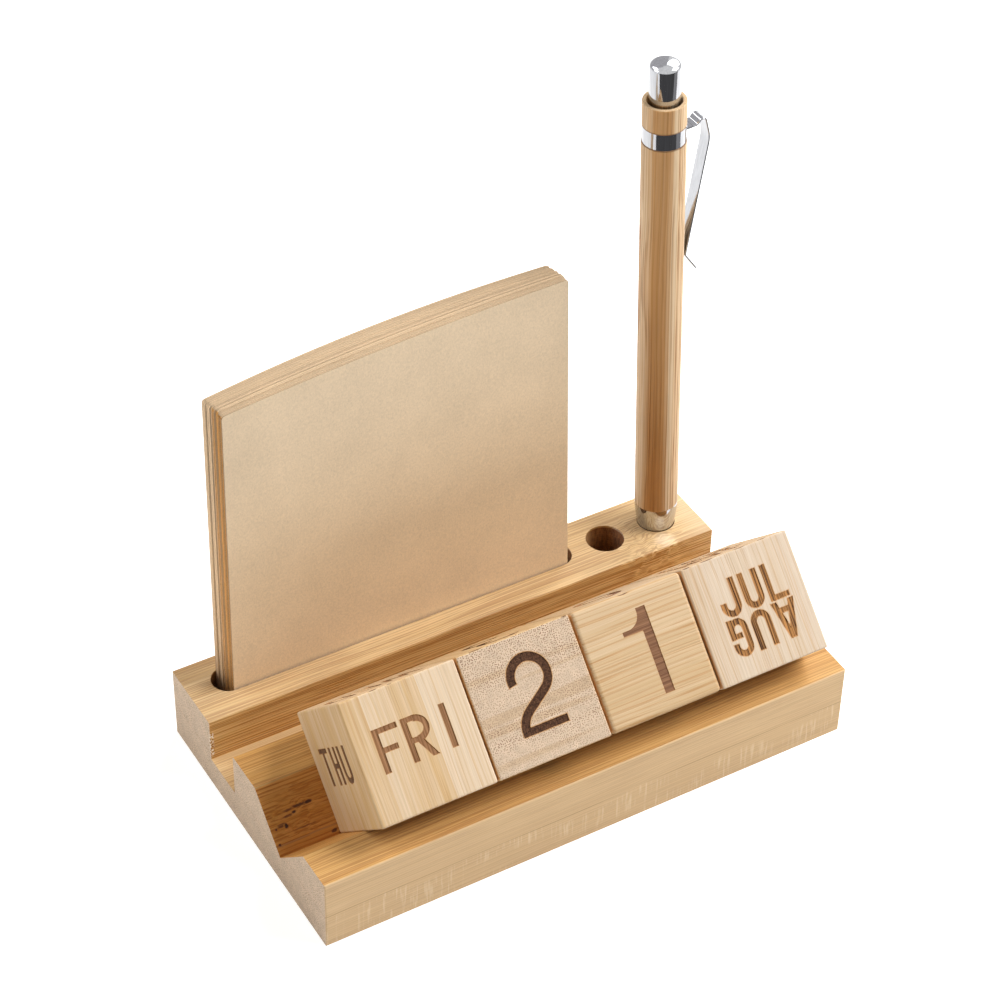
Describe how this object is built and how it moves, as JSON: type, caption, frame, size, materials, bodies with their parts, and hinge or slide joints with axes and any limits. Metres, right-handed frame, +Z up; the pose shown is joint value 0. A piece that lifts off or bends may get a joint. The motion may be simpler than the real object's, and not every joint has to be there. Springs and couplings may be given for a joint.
{
  "type": "desk calendar",
  "caption": "Bamboo desk calendar: grooved block with turning date cubes, a phone groove, a memo sheet slot and holes for push-button pens.",
  "frame": {"origin": "middle of the block's underside", "axes": "+Z up, +X to the right along the grooves, +Y to the rear"},
  "size_m": [0.14, 0.078, 0.1556],
  "materials": {
    "block_bamboo": "sanded laminated bamboo with a thin clear oil, satin",
    "striped_bamboo": "sanded laminated bamboo, strips on edge, burnt lettering",
    "end_grain_bamboo": "sanded bamboo end grain with dark fibre specks, burnt figures",
    "plain_bamboo": "sanded laminated bamboo, eased edges, burnt figures",
    "pale_bamboo": "sanded laminated bamboo, pale strips, burnt lettering",
    "pen_bamboo": "turned bamboo with a clear lacquer, satin",
    "kraft_paper": "uncoated kraft paper, matt",
    "chrome": "polished chrome plate",
    "liner_brass": "drawn brass tube",
    "click_plastic": "white moulded acetal",
    "refill_plastic": "translucent polypropylene tube",
    "tip_brass": "turned brass",
    "bright_steel": "bright drawn steel"
  },
  "bodies": {
    "base": {"base_block": "block_bamboo"},
    "weekday_cube": {"weekday_block": "striped_bamboo"},
    "tens_cube": {"tens_block": "end_grain_bamboo"},
    "units_cube": {"units_block": "plain_bamboo"},
    "month_cube": {"month_block": "pale_bamboo"},
    "memo_stack": {"memo_bunch_1": "kraft_paper", "memo_bunch_2": "kraft_paper", "memo_bunch_3": "kraft_paper", "memo_bunch_4": "kraft_paper", "memo_bunch_5": "kraft_paper"},
    "memo_front": {"memo_front_sheet": "kraft_paper"},
    "pen": {"pen_barrel": "pen_bamboo", "pen_collar": "pen_bamboo", "pen_ring": "chrome", "pen_nose_cone": "chrome", "pen_liner": "liner_brass", "pen_guide_sleeve": "click_plastic", "pen_spring": "bright_steel"},
    "clip": {"pen_clip": "chrome"},
    "button": {"pen_push_button": "chrome", "pen_plunger": "click_plastic"},
    "refill": {"pen_rotor": "click_plastic", "pen_refill_tube": "refill_plastic", "pen_refill_tip": "tip_brass", "pen_refill_ball": "bright_steel"}
  },
  "joints": [
    {"name": "weekday_lift", "type": "slide", "parent": "base", "child": "weekday_cube", "axis": [0, 0, 1], "range_m": [0, 0.045]},
    {"name": "tens_lift", "type": "slide", "parent": "base", "child": "tens_cube", "axis": [0, 0, 1], "range_m": [0, 0.045]},
    {"name": "units_lift", "type": "slide", "parent": "base", "child": "units_cube", "axis": [0, 0, 1], "range_m": [0, 0.045]},
    {"name": "month_lift", "type": "slide", "parent": "base", "child": "month_cube", "axis": [0, 0, 1], "range_m": [0, 0.045]},
    {"name": "memo_lift", "type": "slide", "parent": "base", "child": "memo_stack", "axis": [0, 0, 1], "range_m": [0, 0.03]},
    {"name": "front_sheet_lift", "type": "slide", "parent": "memo_stack", "child": "memo_front", "axis": [0, -0.015, 0.9999], "range_m": [0, 0.02]},
    {"name": "pen_lift", "type": "slide", "parent": "base", "child": "pen", "axis": [-0.0328, 0.0119, 0.9994], "range_m": [0, 0.03]},
    {"name": "button_press", "type": "slide", "parent": "pen", "child": "button", "axis": [0.0328, -0.0119, -0.9994], "range_m": [0, 0.005], "stiffness_N_per_m": 200, "springref_m": -0.004},
    {"name": "refill_feed", "type": "slide", "parent": "pen", "child": "refill", "axis": [0.0328, -0.0119, -0.9994], "range_m": [0, 0.005], "deforming": ["pen_spring"]},
    {"name": "clip_flex", "type": "hinge", "parent": "pen", "child": "clip", "pos_m": [0.06252, 0.0307, 0.13695], "axis": [-0.0002, -0.9999, 0.0119], "range_deg": [0, 6], "stiffness_Nm_per_rad": 0.3, "springref_deg": -2.86}
  ],
  "couplings": [
    {"joint": "refill_feed", "follows": "button_press", "ratio": 1}
  ]
}
